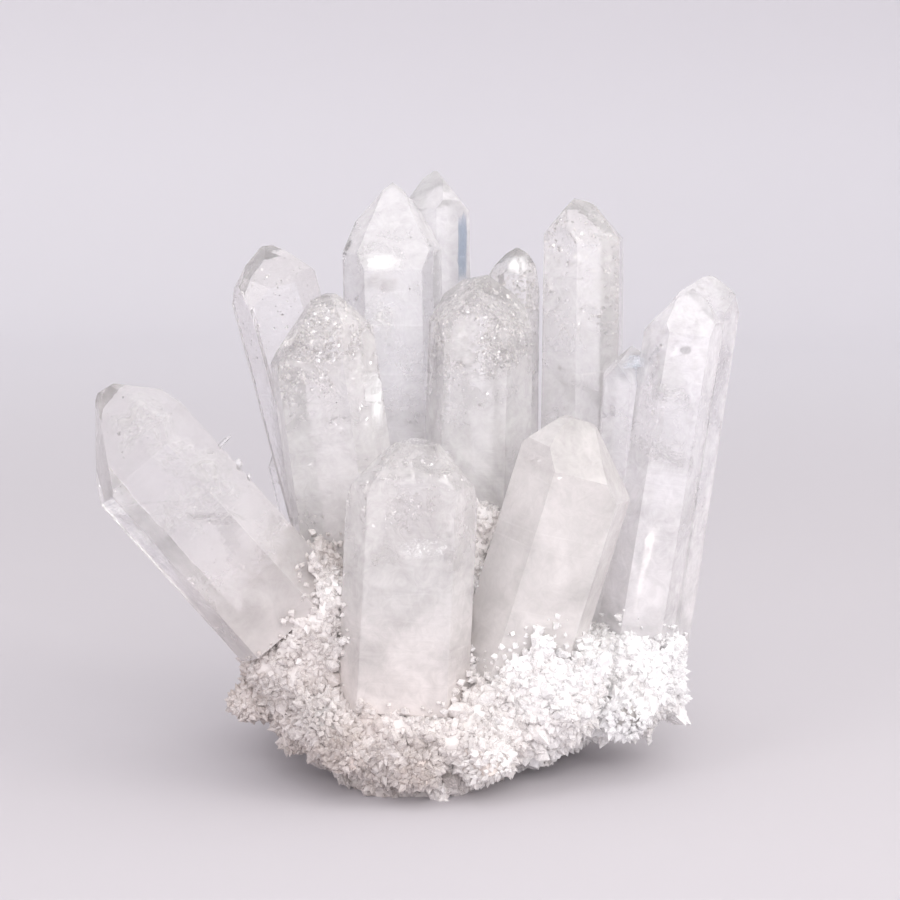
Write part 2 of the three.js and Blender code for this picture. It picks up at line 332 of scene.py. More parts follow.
def chipCorners(solid, axis, rng, count, depth):
    # small breaks across corners, each a flat cut that only takes material away
    heights = [vertex.co.dot(axis) for vertex in solid.verts]
    low, high = min(heights), max(heights)
    for _ in range(count):
        solid.verts.ensure_lookup_table()
        corners = [v for v in solid.verts if v.co.dot(axis) > low + (high - low) * 0.45]
        corner = corners[rng.integers(len(corners))]
        outward = sum((face.normal for face in corner.link_faces), Vector())
        outward = (outward.normalized() + Vector(rng.normal(0, 0.28, 3))).normalized()
        cut = corner.co - outward * depth * rng.uniform(0.35, 1.0)
        cutOff(solid, cut, outward, corner.co.copy(), crystalSettings["chipReach"])
    bmesh.ops.recalc_face_normals(solid, faces=solid.faces)


def growSteps(solid, axis, rng, spacing, width, depth):
    # the crystal narrows towards its tip in tiny steps across the prism, as quartz does
    heights = [vertex.co.dot(axis) for vertex in solid.verts]
    low, high = min(heights), max(heights)
    side = axis.orthogonal().normalized()
    other = axis.cross(side)
    centre = sum((v.co for v in solid.verts), Vector()) / len(solid.verts)
    centre -= axis * centre.dot(axis)
    steps = []
    height = low + spacing
    while height < high - 0.12 * (high - low):
        tilt = (axis + side * rng.normal(0, 0.05) + other * rng.normal(0, 0.05)).normalized()
        point = centre + axis * height
        steps.append((point, tilt, depth * rng.uniform(0.2, 1.6), rng.uniform(0, 2 * math.pi)))
        for shift in (0, width):
            bmesh.ops.bisect_plane(
                solid, geom=solid.verts[:] + solid.edges[:] + solid.faces[:],
                plane_co=point + tilt * shift, plane_no=tilt, dist=0.001 * mm)
        height += spacing * rng.exponential(1.0) + width * 2
    for vertex in solid.verts:
        outward = vertex.co - centre - axis * vertex.co.dot(axis)
        reach = outward.length
        if reach < 0.5 * mm:
            continue
        angle = math.atan2(outward.dot(other), outward.dot(side))
        inset = 0
        for point, tilt, amount, phase in steps:
            passed = min(1, max(0, (vertex.co - point).dot(tilt) / width))
            inset += amount * (0.55 + 0.45 * math.sin(angle + phase)) * passed
        vertex.co -= outward / reach * min(inset, reach * 0.3)


def cutOff(solid, cut, outward, apex, reach):
    # one flat break, made only where it takes nothing further than reach from the apex
    if any((v.co - cut).dot(outward) > 0 and (v.co - apex).length > reach for v in solid.verts):
        return
    bmesh.ops.bisect_plane(
        solid, geom=solid.verts[:] + solid.edges[:] + solid.faces[:], plane_co=cut, plane_no=outward,
        clear_outer=True, dist=0.001 * mm)
    bmesh.ops.holes_fill(solid, edges=[e for e in solid.edges if e.is_boundary], sides=0)


def bluntApex(solid, axis, rng, depth):
    # a worn tip: a few flat breaks at different tilts round the highest point
    apex = max(solid.verts, key=lambda v: v.co.dot(axis)).co.copy()
    for _ in range(crystalSettings["tipBreaks"]):
        top = max(solid.verts, key=lambda v: v.co.dot(axis)).co.copy()
        outward = (axis + Vector(rng.normal(0, 0.32, 3))).normalized()
        cut = top - outward * depth * rng.uniform(0.35, 1.0)
        cutOff(solid, cut, outward, apex, crystalSettings["tipReach"])
    bmesh.ops.recalc_face_normals(solid, faces=solid.faces)


def crystalPiece(nodeName, material, rng, chips, worn, bevel):
    solid = solidOf(nodeName)
    axis = axisOf(solid)
    if worn:
        bluntApex(solid, axis, rng, worn * mm)
    chipCorners(solid, axis, rng, chips, crystalSettings["chipDepth"])
    corner = math.radians(12)
    sharp = [edge for edge in solid.edges if edge.is_manifold and edge.calc_face_angle(0) > corner]
    bmesh.ops.bevel(
        solid, geom=sharp, offset=bevel * mm, offset_type="OFFSET", segments=2, profile=0.6,
        affect="EDGES", clamp_overlap=True)
    growSteps(solid, axis, rng, crystalSettings["stepSpacing"], crystalSettings["stepWidth"],
              crystalSettings["stepDepth"])
    bmesh.ops.triangulate(solid, faces=[f for f in solid.faces if len(f.verts) > 4])
    bmesh.ops.recalc_face_normals(solid, faces=solid.faces)
    if solid.calc_volume(signed=True) < 0:
        bmesh.ops.reverse_faces(solid, faces=solid.faces)
    mesh = bpy.data.meshes.new("clear_" + nodeName)
    solid.to_mesh(mesh)
    solid.free()
    heights = np.array([v.co.dot(axis) for v in mesh.vertices]) / mm
    low, high = heights.min(), heights.max()
    setAttribute(mesh, "alongAxis", heights)
    setAttribute(mesh, "rootward", np.clip(1 - (heights - low) / max(8, 0.5 * (high - low)), 0, 1))
    setAttribute(mesh, "tipward", np.clip(1 - (high - heights) / max(5, 0.36 * (high - low)), 0, 1) ** 0.7)
    prism = [1.0 if abs(face.normal.dot(axis)) < 0.25 else 0.0 for face in mesh.polygons]
    setAttribute(mesh, "prismFace", prism, "FACE")
    piece = addObject("clear_" + nodeName, mesh, material)
    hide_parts(nodeName)
    return piece, axis


# what is sealed in the crystals

def shapeOf(mesh, axis):
    # what is needed to place things inside a crystal: its surface, its axis, and a cylinder round it
    solid = bmesh.new()
    solid.from_mesh(mesh)
    points = [v.co.copy() for v in solid.verts]
    tree = BVHTree.FromBMesh(solid)
    solid.free()
    heights = [p.dot(axis) for p in points]
    middle = sum(points, Vector()) / len(points)
    middle -= axis * middle.dot(axis)
    radius = max((p - axis * p.dot(axis) - middle).length for p in points)
    side = axis.orthogonal().normalized()
    return {"tree": tree, "axis": axis, "side": side, "other": axis.cross(side), "middle": middle,
            "bottom": min(heights), "length": max(heights) - min(heights), "radius": radius}


def depthInside(tree, point):
    # how far a point lies under the surface, negative outside
    place, normal, _, distance = tree.find_nearest(point)
    return distance if (point - place).dot(normal) < 0 else -distance


def pointInside(shape, rng, span, margin, wanted=None):
    # a random point at least margin under the surface, between two shares of the crystal's length
    for _ in range(60):
        reach, angle = shape["radius"] * math.sqrt(rng.random()), rng.uniform(0, 2 * math.pi)
        height = shape["bottom"] + shape["length"] * rng.uniform(*span)
        point = (shape["middle"] + shape["axis"] * height + shape["side"] * (reach * math.cos(angle))
                 + shape["other"] * (reach * math.sin(angle)))
        if depthInside(shape["tree"], point) > margin and (wanted is None or wanted(point)):
            return point
    return None


def veilSheet(tree, centre, facing, size, rng, vertices, faces, inner):
    # a thin closed sheet, bent by noise and trimmed to stay inside the crystal
    facing = facing.normalized()
    side = facing.orthogonal().normalized()
    other = facing.cross(side)
    spokes, rings = 30, 7
    halfThick = 0.012 * mm
    seed = Vector(rng.uniform(-9, 9, 3))
    bend = rng.uniform(0.06, 0.16) * size
    for sign in (1, -1):
        start = len(vertices)
        vertices.append(centre + facing * sign * halfThick)
        inner.append(1.0)
        for spoke in range(spokes):
            angle = 2 * math.pi * spoke / spokes
            way = side * math.cos(angle) + other * math.sin(angle)
            hit = tree.ray_cast(centre, way)[3] or size
            reach = min(size * (0.65 + 0.5 * noise.noise(seed + way * 1.3)), hit - 0.35 * mm)
            reach = max(reach, 0.2 * mm)
            for ring in range(1, rings + 1):
                share = ring / rings
                flat = centre + way * reach * share
                lift = bend * noise.noise(seed + flat * (2.1 / size))
                spot = flat + facing * lift * share
                if depthInside(tree, spot) < 0.15 * mm:
                    spot = flat
                thin = sign * halfThick * (1 - share) if ring < rings else 0
                vertices.append(spot + facing * thin)
                inner.append((1 - share) ** 0.6)
        for spoke in range(spokes):
            a = start + 1 + spoke * rings
            b = start + 1 + (spoke + 1) % spokes * rings
            triangle = (start, a, b)
            faces.append(triangle if sign > 0 else triangle[::-1])
            for ring in range(rings - 1):
                quad = (a + ring, a + ring + 1, b + ring + 1, b + ring)
                faces.append(quad if sign > 0 else quad[::-1])


def flakeAt(centre, normal, size, rng, vertices, faces):
    # one crack: a thin five-sided lens
    side = normal.orthogonal().normalized()
    other = normal.cross(side)
    start = len(vertices)
    turn = rng.uniform(0, 6.28)
    for corner in range(5):
        angle = turn + 2 * math.pi * corner / 5
        reach = size * rng.uniform(0.35, 1.0) * 0.5
        vertices.append(centre + side * math.cos(angle) * reach + other * math.sin(angle) * reach)
    vertices.append(centre + normal * size * 0.05)
    vertices.append(centre - normal * size * 0.05)
    for corner in range(5):
        following = (corner + 1) % 5
        faces.append((start + corner, start + following, start + 5))
        faces.append((start + following, start + corner, start + 6))


def sparkCloud(shape, rng, count, span, vertices, faces):
    # small open breaks just under the surface, more or less along it
    for _ in range(count):
        point = pointInside(shape, rng, span, 0.3 * mm)
        if point is None:
            continue
        place, normal, _, _ = shape["tree"].find_nearest(point)
        size = (0.18 + 0.75 * rng.random() ** 3) * mm
        facing = (normal + Vector(rng.normal(0, 0.4, 3))).normalized()
        flakeAt(place - normal * (0.06 * mm + size * 0.3), facing, size, rng, vertices, faces)


def isNearTip(shape, point):
    # the battered part of a tip, with a ragged lower limit
    share = (point.dot(shape["axis"]) - shape["bottom"]) / shape["length"]
    return share > 0.76 + 0.2 * noise.noise(point * 220)


def flakeCloud(shape, rng, count, sizes, span, vertices, faces, wanted=None, facing=None):
    for _ in range(count):
        size = (sizes[0] + (sizes[1] - sizes[0]) * rng.random() ** 2) * mm
        centre = pointInside(shape, rng, span, size * 0.55, wanted)
        if centre is None:
            continue
        normal = Vector(rng.normal(0, 1, 3))
        if facing is not None:
            normal = normal * 0.6 + facing
        flakeAt(centre, normal.normalized(), size, rng, vertices, faces)


# build the crystals

rng = np.random.default_rng(20)
looks = {
    # haze: cloudiness of the surface, with how uneven it is and how much the root and the tip add.
    # crackle and lines: height of the tip's crackle and of the growth lines
    "clear": {"haze": 0.09, "uneven": 0.1, "rootHaze": 0.4, "tipHaze": 0.03,
              "crackle": 0.25, "lines": 0.2, "rust": 0.3, "tint": ("#fffefe", "#fefcfc")},
    "windowed": {"haze": 0.28, "uneven": 0.16, "rootHaze": 0.35, "tipHaze": 0.04,
                 "crackle": 0.2, "lines": 0.2, "rust": 0.2, "tint": ("#ffffff", "#fefcfd")},
    "hazy": {"haze": 0.33, "uneven": 0.2, "rootHaze": 0.36, "tipHaze": -0.06,
             "crackle": 0.2, "lines": 0.12, "rust": 0.4, "tint": ("#fffefe", "#fefbfa")},
    "cracked": {"haze": 0.33, "uneven": 0.17, "rootHaze": 0.32, "tipHaze": -0.14,
                "crackle": 0.3, "lines": 0.18, "rust": 0.3, "tint": ("#fffefe", "#fefcfb")},
    "white": {"haze": 0.34, "uneven": 0.2, "rootHaze": 0.28, "tipHaze": 0.03,
              "crackle": 0.3, "lines": 0.2, "rust": 0.1, "tint": ("#fffeff", "#fdfbfd")},
    "milky": {"haze": 0.52, "uneven": 0.16, "rootHaze": 0.16, "tipHaze": -0.08,
              "crackle": 0.2, "lines": 0.05, "rust": 0.12, "tint": ("#faf7f5", "#f4f0ee")},
    "rooted": {"haze": 0.6, "uneven": 0.25, "rootHaze": 0.2, "tipHaze": -0.1,
               "crackle": 0.4, "lines": 0.15, "rust": 0.6, "tint": ("#fffcfa", "#f9f1ec")},
}
quartz = {name: rockCrystal("rock_crystal_" + name, look) for name, look in looks.items()}

crystals = {
    # chips: broken corners. worn: how much the apex has lost. bevel: how far edges are rounded. Both in mm
    "crystal_front_center": {"look": "hazy", "chips": 9, "worn": 0.5, "bevel": 0.32},
    "crystal_front_right": {"look": "milky", "chips": 10, "worn": 0.4, "bevel": 0.6,
                            "slot": "milky_quartz"},
    "crystal_front_left": {"look": "cracked", "chips": 9, "worn": 1.3},
    "crystal_center": {"look": "cracked", "chips": 10, "worn": 1.4},
    "crystal_far_left": {"look": "clear", "chips": 6, "worn": 0.6},
    "crystal_right": {"look": "white", "chips": 7, "worn": 0.5},
    "crystal_back_left": {"look": "clear", "chips": 5, "worn": 0.9},
    "crystal_tall": {"look": "windowed", "chips": 4, "worn": 0.8},
    "crystal_back_right": {"look": "cracked", "chips": 7, "worn": 0.9},
    "crystal_back_point": {"look": "cracked", "chips": 4, "worn": 0.5},
    "crystal_rear_left": {"look": "clear", "chips": 4, "worn": 0.4},
    "crystal_rear_center": {"look": "white", "chips": 4, "worn": 0.5},
    "crystal_rear_right": {"look": "clear", "chips": 4, "worn": 0.4},
    "crystal_low_right": {"look": "clear", "chips": 3, "worn": 0.3},
    "crystal_low_left": {"look": "white", "chips": 3, "worn": 0.3},
}
for nodeName in frame["nodes"]:
    if nodeName.startswith("rim_point"):
        crystals[nodeName] = {"look": "rooted", "chips": 4, "worn": 0.4}

axes, shapes = {}, {}
for nodeName, settings in crystals.items():
    piece, axes[nodeName] = crystalPiece(
        nodeName, quartz[settings["look"]], rng, settings["chips"], settings["worn"],
        settings.get("bevel", crystalSettings["bevel"]))
    shapes[nodeName] = shapeOf(piece.data, axes[nodeName])
print("crystals:", len(axes))

# build the veils, cracks and specks

sealed = {
    # veils: how many, and their size in mm. tip, root and middle: how many cracks in each part.
    # largest: the cracks' scale. sparks: open breaks under the tip, with half as many again lower down
    "crystal_front_center": {"veils": 9, "size": 6.5, "tip": 120, "root": 260, "middle": 260, "sparks": 90},
    "crystal_front_right": {"veils": 8, "size": 7, "tip": 60, "root": 160, "middle": 60, "sparks": 50},
    "crystal_front_left": {"veils": 8, "size": 6, "tip": 1000, "root": 200, "middle": 160, "sparks": 850},
    "crystal_center": {"veils": 8, "size": 6, "tip": 1000, "root": 120, "middle": 200, "sparks": 850},
    "crystal_far_left": {"veils": 8, "size": 7.5, "tip": 30, "root": 420, "middle": 120,
                         "largest": 0.5, "sparks": 40},
    "crystal_right": {"veils": 9, "size": 5, "tip": 420, "root": 260, "middle": 320, "sparks": 300},
    "crystal_back_left": {"veils": 5, "size": 5.5, "tip": 160, "root": 80, "middle": 120,
                          "largest": 0.45, "sparks": 70},
    "crystal_tall": {"veils": 8, "size": 6, "tip": 260, "root": 90, "middle": 120, "largest": 0.5,
                     "sparks": 160},
    "crystal_back_right": {"veils": 6, "size": 5.5, "tip": 260, "root": 90, "middle": 220, "sparks": 260},
    "crystal_back_point": {"veils": 3, "size": 3.5, "tip": 260, "root": 40, "middle": 40, "sparks": 120},
    "crystal_rear_left": {"veils": 4, "size": 5, "tip": 120, "root": 80, "middle": 40, "sparks": 60},
    "crystal_rear_center": {"veils": 5, "size": 5, "tip": 90, "root": 110, "middle": 60, "sparks": 60},
    "crystal_rear_right": {"veils": 4, "size": 5, "tip": 110, "root": 80, "middle": 40, "sparks": 60},
    "crystal_low_right": {"veils": 2, "size": 3, "tip": 50, "root": 40, "middle": 20, "sparks": 30},
    "crystal_low_left": {"veils": 2, "size": 3, "tip": 50, "root": 40, "middle": 20, "sparks": 30},
}

veilVertices, veilFaces, veilInner = [], [], []
flakeVertices, flakeFaces = [], []
sparkVertices, sparkFaces = [], []
for nodeName, settings in sealed.items():
    shape = shapes[nodeName]
    for _ in range(settings["veils"]):
        centre = pointInside(shape, rng, (0.08, 0.86), 1.2 * mm)
        if centre is None:
            continue
        facing = Vector(rng.normal(0, 1, 3)).normalized() + shape["axis"] * rng.choice([-1.2, 1.2, 0.2])
        veilSheet(shape["tree"], centre, facing, settings["size"] * mm * rng.uniform(0.6, 1.3), rng,
                  veilVertices, veilFaces, veilInner)
    largest = settings.get("largest", 1.0)
    flakeCloud(shape, rng, settings["tip"], (0.2, 1.4 * largest), (0.62, 1.0), flakeVertices, flakeFaces,
               lambda point: isNearTip(shape, point))
    sparkCloud(shape, rng, settings["sparks"], (0.72, 1.0), sparkVertices, sparkFaces)
    sparkCloud(shape, rng, settings["sparks"] // 2, (0.3, 0.95), sparkVertices, sparkFaces)
    flakeCloud(shape, rng, settings["root"], (0.15, 0.8 * largest), (0.0, 0.45), flakeVertices, flakeFaces)
    flakeCloud(shape, rng, settings["middle"], (0.12, 0.8 * largest), (0.1, 0.95), flakeVertices, flakeFaces,
               lambda point: noise.noise(point * 160) > 0.18, shape["axis"])

filmLooks = {
    # wisp: size of its wisps in mm. from, to: the noise levels where it goes from least to most opaque
    "healed_fracture_veil": {"tint": ("#fffefd", "#fcfaf9"), "wisp": 2.4, "from": 0.4, "to": 0.7,
                             "least": 0, "most": 0.85},
    "white_crack_film": {"tint": ("#ffffff", "#fdfcfb"), "wisp": 1.2, "from": 0.25, "to": 0.5,
                         "least": 0.3, "most": 1},
    # smoky inclusions, and under the tall crystal's white band a painted shadow
    "smoky_and_shadow_film": {"tint": ("#a89b9a", "#c8bdbb"), "wisp": 1.6, "from": 0.4, "to": 0.6,
                   "least": 0, "most": 0.62},
    "ragged_crack_film": {"tint": ("#ffffff", "#fdfcfb"), "wisp": 1.1, "from": 0.5, "to": 0.64,
                          "least": 0, "most": 0.85},
    # painted reflection: a blue-grey film
    "painted_blue_reflection_film": {"tint": ("#8399b2", "#a3b3c5"), "wisp": 3.0, "from": 0.2, "to": 0.5,
                       "least": 0.24, "most": 0.4},
    # painted highlight: a near-opaque pure white film
    "painted_highlight_film": {"tint": ("#ffffff", "#ffffff"), "wisp": 1.0, "from": 0.2, "to": 0.4,
                          "least": 0.75, "most": 1},
    "pale_blue_film": {"tint": ("#dde5ee", "#f3f6fa"), "wisp": 1.5, "from": 0.38, "to": 0.62,
                       "least": 0, "most": 0.6},
}
film = {name: sealedFilm(name, look) for name, look in filmLooks.items()}
airLooks = {
    # patch: size of its patches in mm. dull: roughness from clean to dusty. mirror: how metal-like it is
    "air_film_crack": {"tint": ("#fffdfb", "#f8f4f2"), "patch": 0.8, "dull": (0.06, 0.4), "mirror": 0.7},
    "air_film_spark": {"tint": ("#ffffff", "#fbf9f9"), "patch": 0.4, "dull": (0.08, 0.22), "mirror": 0.9},
}
air = {name: airFilm(name, look) for name, look in airLooks.items()}

veilMesh = meshFrom("sealed_veils", veilVertices, veilFaces)
setAttribute(veilMesh, "inner", veilInner)
addObject("sealed_veils", veilMesh, film["healed_fracture_veil"])
flakeMesh = meshFrom("sealed_cracks", flakeVertices, flakeFaces)
addObject("sealed_cracks", flakeMesh, air["air_film_crack"])
sparkMesh = meshFrom("sealed_sparks", sparkVertices, sparkFaces)
addObject("sealed_sparks", sparkMesh, air["air_film_spark"])


def shareOf(nodeName, share):
    low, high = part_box(nodeName)
    return Vector([low[i] + share[i] * (high[i] - low[i]) for i in range(3)])


def filmUnderFace(name, nodeName, across, upward, depth, edge, material):
    # a thin closed sheet that follows the crystal's front; the spans are shares of the crystal's box
    tree = shapes[nodeName]["tree"]
    columns, rows = 9, 15
    thick = Vector((0, 0.03 * mm, 0))
    front, fades = [], []
    for row in range(rows):
        for column in range(columns):
            u, v = column / (columns - 1), row / (rows - 1)
            rag = 0.12 * noise.noise(Vector((u * 4, v * 4, len(name))))
            target = shareOf(nodeName, (across[0] + (u + rag) * (across[1] - across[0]), 0,
                                        upward[0] + (v + rag) * (upward[1] - upward[0])))
            place, normal, _, _ = tree.ray_cast(target - Vector((0, 20 * mm, 0)), Vector((0, 1, 0)))
            if place is None:
                place, normal, _, _ = tree.find_nearest(target)
            front.append(place - normal * depth * mm)
            fades.append(min(1, edge * min(u, 1 - u)) * min(1, edge * min(v, 1 - v)))
    count = len(front)
    vertices = front + [point + thick for point in front]
    faces = []
    for row in range(rows - 1):
        for column in range(columns - 1):
            a = row * columns + column
            b = a + columns
            faces.append((a, a + 1, b + 1, b))
            faces.append((count + a, count + b, count + b + 1, count + a + 1))
    ring = list(range(columns))
    ring += [row * columns + columns - 1 for row in range(1, rows)]
    ring += [(rows - 1) * columns + column for column in range(columns - 2, -1, -1)]
    ring += [row * columns for row in range(rows - 2, 0, -1)]
    for a, b in zip(ring, ring[1:] + ring[:1]):
        faces.append((b, a, count + a, count + b))
    mesh = meshFrom(name, vertices, faces)
    setAttribute(mesh, "inner", fades * 2)
    return addObject(name, mesh, material)


films = [
    # name, crystal, shares of its width and of its height, mm under the face (negative lies on it),
    # edge (large is sharp) and film
    # painted reflection: a blue-grey stripe on the face of the tall crystal's twin
    ("film_twin_stripe", "crystal_tall", (0.855, 0.925), (0.755, 0.905), -0.03, 6, "painted_blue_reflection_film"),
    ("film_tall_band", "crystal_tall", (0.12, 0.47), (0.785, 0.828), -0.02, 2.4, "white_crack_film"),
    # painted shadow: a smoky film under the white band
    ("film_tall_shadow", "crystal_tall", (0.13, 0.44), (0.735, 0.79), 0.5, 2.5, "smoky_and_shadow_film"),
    ("film_tall_patch", "crystal_tall", (0.18, 0.47), (0.62, 0.755), -0.02, 2.2, "healed_fracture_veil"),
    # painted highlight along the right edge of the front left crystal
    ("film_edge_streak", "crystal_front_left", (0.69, 0.775), (0.61, 0.77), -0.02, 2.6,
     "painted_highlight_film"),
    # painted highlight near the tip of the back point
    ("film_point_glow", "crystal_back_point", (0.38, 0.78), (0.918, 0.97), -0.02, 2.6, "painted_highlight_film"),
    ("film_front_smoke", "crystal_front_center", (0.38, 0.86), (0.6, 0.82), 0.35, 2.0, "smoky_and_shadow_film"),
    ("film_front_wisp", "crystal_front_center", (0.34, 0.88), (0.585, 0.665), -0.02, 2.6,
     "ragged_crack_film"),
    ("film_front_band", "crystal_front_center", (0.2, 0.66), (0.3, 0.52), 2.5, 2.5, "healed_fracture_veil"),
    ("film_center_stripe", "crystal_center", (0.6, 0.78), (0.42, 0.68), 1.0, 2.5, "smoky_and_shadow_film"),
    ("film_right_blue", "crystal_right", (0.1, 0.44), (0.72, 0.85), 0.6, 2.5, "pale_blue_film"),
    ("film_right_wisp", "crystal_right", (0.38, 0.62), (0.7, 0.82), 0.8, 2.5, "white_crack_film"),
]
for name, nodeName, across, upward, depth, edge, filmName in films:
    filmUnderFace(name, nodeName, across, upward, depth, edge, film[filmName])


def speckPiece(name, nodeName, share, radii, lumps, material):
    # a lumpy grain just under the face, made of a few rounded lumps
    tree = shapes[nodeName]["tree"]
    place, normal, _, _ = tree.find_nearest(shareOf(nodeName, share))
    grain = bmesh.new()
    for lump in range(lumps):
        fresh = bmesh.ops.create_icosphere(grain, subdivisions=2, radius=1.0)["verts"]
        drift = Vector(rng.normal(0, 0.45, 3)) if lump else Vector()
        shrink = 1.0 if lump == 0 else rng.uniform(0.35, 0.7)
        for vertex in fresh:
            rough = 1 + 0.35 * noise.noise(vertex.co * 1.7 + drift * 5)
            moved = vertex.co * shrink * rough + drift
            spread = Vector([moved[i] * radii[i] * mm for i in range(3)])
            vertex.co = place - normal * (max(radii) * 0.75 * mm) + spread
    for vertex in grain.verts:
        inside = depthInside(tree, vertex.co)
        if inside < 0.08 * mm:
            vertex.co -= tree.find_nearest(vertex.co)[1] * (0.08 * mm - inside)
    mesh = bpy.data.meshes.new(name)
    grain.to_mesh(mesh)
    grain.free()
    return addObject(name, mesh, material)


brownGrain = mineralSpeck("iron_oxide_grain", "#54423a", 0.55)
greyGrain = mineralSpeck("dark_chlorite_grain", "#5b545f", 0.45)
speckPiece("grain_tall_shoulder", "crystal_tall", (0.036, 0.337, 0.841), (0.62, 0.5, 0.95), 4, brownGrain)
speckPiece("grain_right", "crystal_right", (0.612, 0.018, 0.828), (0.85, 0.4, 0.55), 3, greyGrain)
speckPiece("grain_right_small", "crystal_right", (0.455, 0.1, 0.84), (0.28, 0.2, 0.25), 2, greyGrain)
print("sealed:", len(veilFaces), len(flakeFaces), len(films))


# the crust

crustSettings = {
    "voxel": 0.62 * mm,
    "sink": 0.65 * mm,  # the massive quartz lies about this much under the solid, and the druse fills it
    "hollows": 11 * mm,  # scale of the hollows round the foot
    "deepest": 0.45,  # the deepest hollow, as a share of that scale
    "floorGap": 0.25 * mm,  # a small crystal that would reach lower than this is turned up
    "fine": 13500,  # small crystals in each of the two fine pieces
    "coarse": 520,
    "rim": 130,
    "collar": 15500,
}

stainPatches = [
    # place in mm, reach in mm, strength: iron sits in the hollows between the crystals
    ((10, -16, 32), 8, 0.3),
    ((-17, -8, 20), 9, 0.35),
    ((-24, -12, 9), 10, 0.22),
    ((-10, -26, 4), 8, 0.25),
    ((4, -20, 14), 7, 0.2),
    ((-2, -30, 5), 13, 0.3),
    ((-14, -20, 12), 7, 0.4),
]


def stainAndShadeAt(point):
    # iron stain from noise and patches, plus painted shade: more to the left and low down, none on the
    # sugary right side
    across = (point.x + 4 * mm) / (26 * mm)
    low = 1 - min(1, max(0, point.z / (26 * mm)))
    # the terms for the left and for low down are painted shade, away from the key lamp on the right
    amount = 0.24 - 0.34 * across + 0.2 * low + 0.3 * noise.noise(point * 130)
    for place, reach, strength in stainPatches:
        amount += strength * max(0, 1 - (point - Vector(place) * mm).length / (reach * mm))
    return max(-0.2, min(0.95, amount))


def crustBody():
    solid = solidOf("druse_crust")
    bmesh.ops.scale(solid, vec=(1 / mm, 1 / mm, 1 / mm), verts=solid.verts)
    roughMesh = bpy.data.meshes.new("crust_rough")
    solid.to_mesh(roughMesh)
    solid.free()
    rough = bpy.data.objects.new("crust_rough", roughMesh)
    scene.collection.objects.link(rough)
    remesh = rough.modifiers.new("remesh", "REMESH")
    remesh.mode = "VOXEL"
    remesh.voxel_size = crustSettings["voxel"] / mm
    mesh = bpy.data.meshes.new_from_object(rough.evaluated_get(bpy.context.evaluated_depsgraph_get()))
    bpy.data.objects.remove(rough)
    bpy.data.meshes.remove(roughMesh)
    # the normals are all read before a point moves, because each move makes them all again
    normals = [vertex.normal.copy() for vertex in mesh.vertices]
    moved = []
    for vertex, normal in zip(mesh.vertices, normals):
        point = vertex.co * mm
        rise = noise.fractal(point * 420, 0.9, 2.0, 3)
        low = max(0.0, 1 - point.z / (7.5 * mm))
        hollow = min(crustSettings["deepest"], max(0.0, noise.noise(point * 145 + Vector((5, 2, 8)))))
        hollow = hollow * crustSettings["hollows"] * low
        place = point - normal * (crustSettings["sink"] * (0.75 + 0.6 * rise) + hollow)
        moved.extend((place.x, place.y, hollow if point.z < 0.5 * mm else max(0.0, place.z)))
    mesh.vertices.foreach_set("co", moved)
    mesh.update()
    return mesh


def smallCrystal():
    # corners and faces of one small crystal, 1 wide and 1 long, its shoulders uneven as in real quartz
    corners = []
    for ring, height in ((0.42, 0.0), (0.5, 0.62)):
        for corner in range(6):
            angle = math.pi / 3 * corner
            lift = 0.06 * (-1) ** corner if height else 0
            corners.append((ring * math.cos(angle), ring * math.sin(angle), height + lift))
    corners.append((0.05, 0.03, 1.0))
    faces = [tuple(range(5, -1, -1))]
    for corner in range(6):
        following = (corner + 1) % 6
        faces.append((corner, following, following + 6, corner + 6))
        faces.append((corner + 6, following + 6, 12))
    return np.array(corners), faces


def smallPoint():
    # a grain of the fine druse: a six-sided point over a root that narrows into the crust
    corners = [(0.0, 0.0, 0.0), (0.04, 0.02, 1.0)]
    for corner in range(6):
        angle = math.pi / 3 * corner
        reach = 0.5 - 0.05 * (-1) ** corner
        corners.append((reach * math.cos(angle), reach * math.sin(angle), 0.5 + 0.09 * (-1) ** corner))
    faces = []
    for corner in range(6):
        following = (corner + 1) % 6
        faces.append((0, following + 2, corner + 2))
        faces.append((1, corner + 2, following + 2))
    return np.array(corners), faces


def crystalField(name, spots, material, shape):
    # spots: place, direction, width, length, turn and stain with painted shade of each small crystal, joined
    # in one mesh
    corners, template = shape
    vertices = np.empty((len(spots) * len(corners), 3))
    stainAndShadeValues = np.empty(len(spots) * len(corners))
    faces = []
    for i, (place, direction, width, length, turn, stain_and_shade) in enumerate(spots):
        side = direction.orthogonal().normalized()
        other = direction.cross(side)
        side, other = (side * math.cos(turn) + other * math.sin(turn),
                       other * math.cos(turn) - side * math.sin(turn))
        turned = np.array([side * width, other * width * 0.85, direction * length])
        start = i * len(corners)
        vertices[start : start + len(corners)] = np.array(place) + corners @ turned
        stainAndShadeValues[start : start + len(corners)] = stain_and_shade
        faces.extend(tuple(start + c for c in face) for face in template)
    vertices = np.clip(vertices, cadBox[0], cadBox[1])  # no corner leaves the solids' box
    mesh = meshFrom(name, vertices, faces)
    setAttribute(mesh, "stain_and_shade", stainAndShadeValues)
    return addObject(name, mesh, material)


def spotsOn(mesh, count, rng):
    # random places on a mesh, even over its area, with the face's direction
    corners = np.array([[mesh.vertices[v].co for v in t.vertices] for t in mesh.loop_triangles])
    normals = np.cross(corners[:, 1] - corners[:, 0], corners[:, 2] - corners[:, 0])
    areas = np.linalg.norm(normals, axis=1)
    normals /= np.maximum(areas, 1e-12)[:, None]
    chosen = rng.choice(len(corners), count, p=areas / areas.sum())
    a, b = rng.random((2, count))
    flip = a + b > 1
    a[flip], b[flip] = 1 - a[flip], 1 - b[flip]
    picked = corners[chosen]
    start, first, second = picked[:, 0], picked[:, 1], picked[:, 2]
    places = start + a[:, None] * (first - start) + b[:, None] * (second - start)
    return places, normals[chosen]


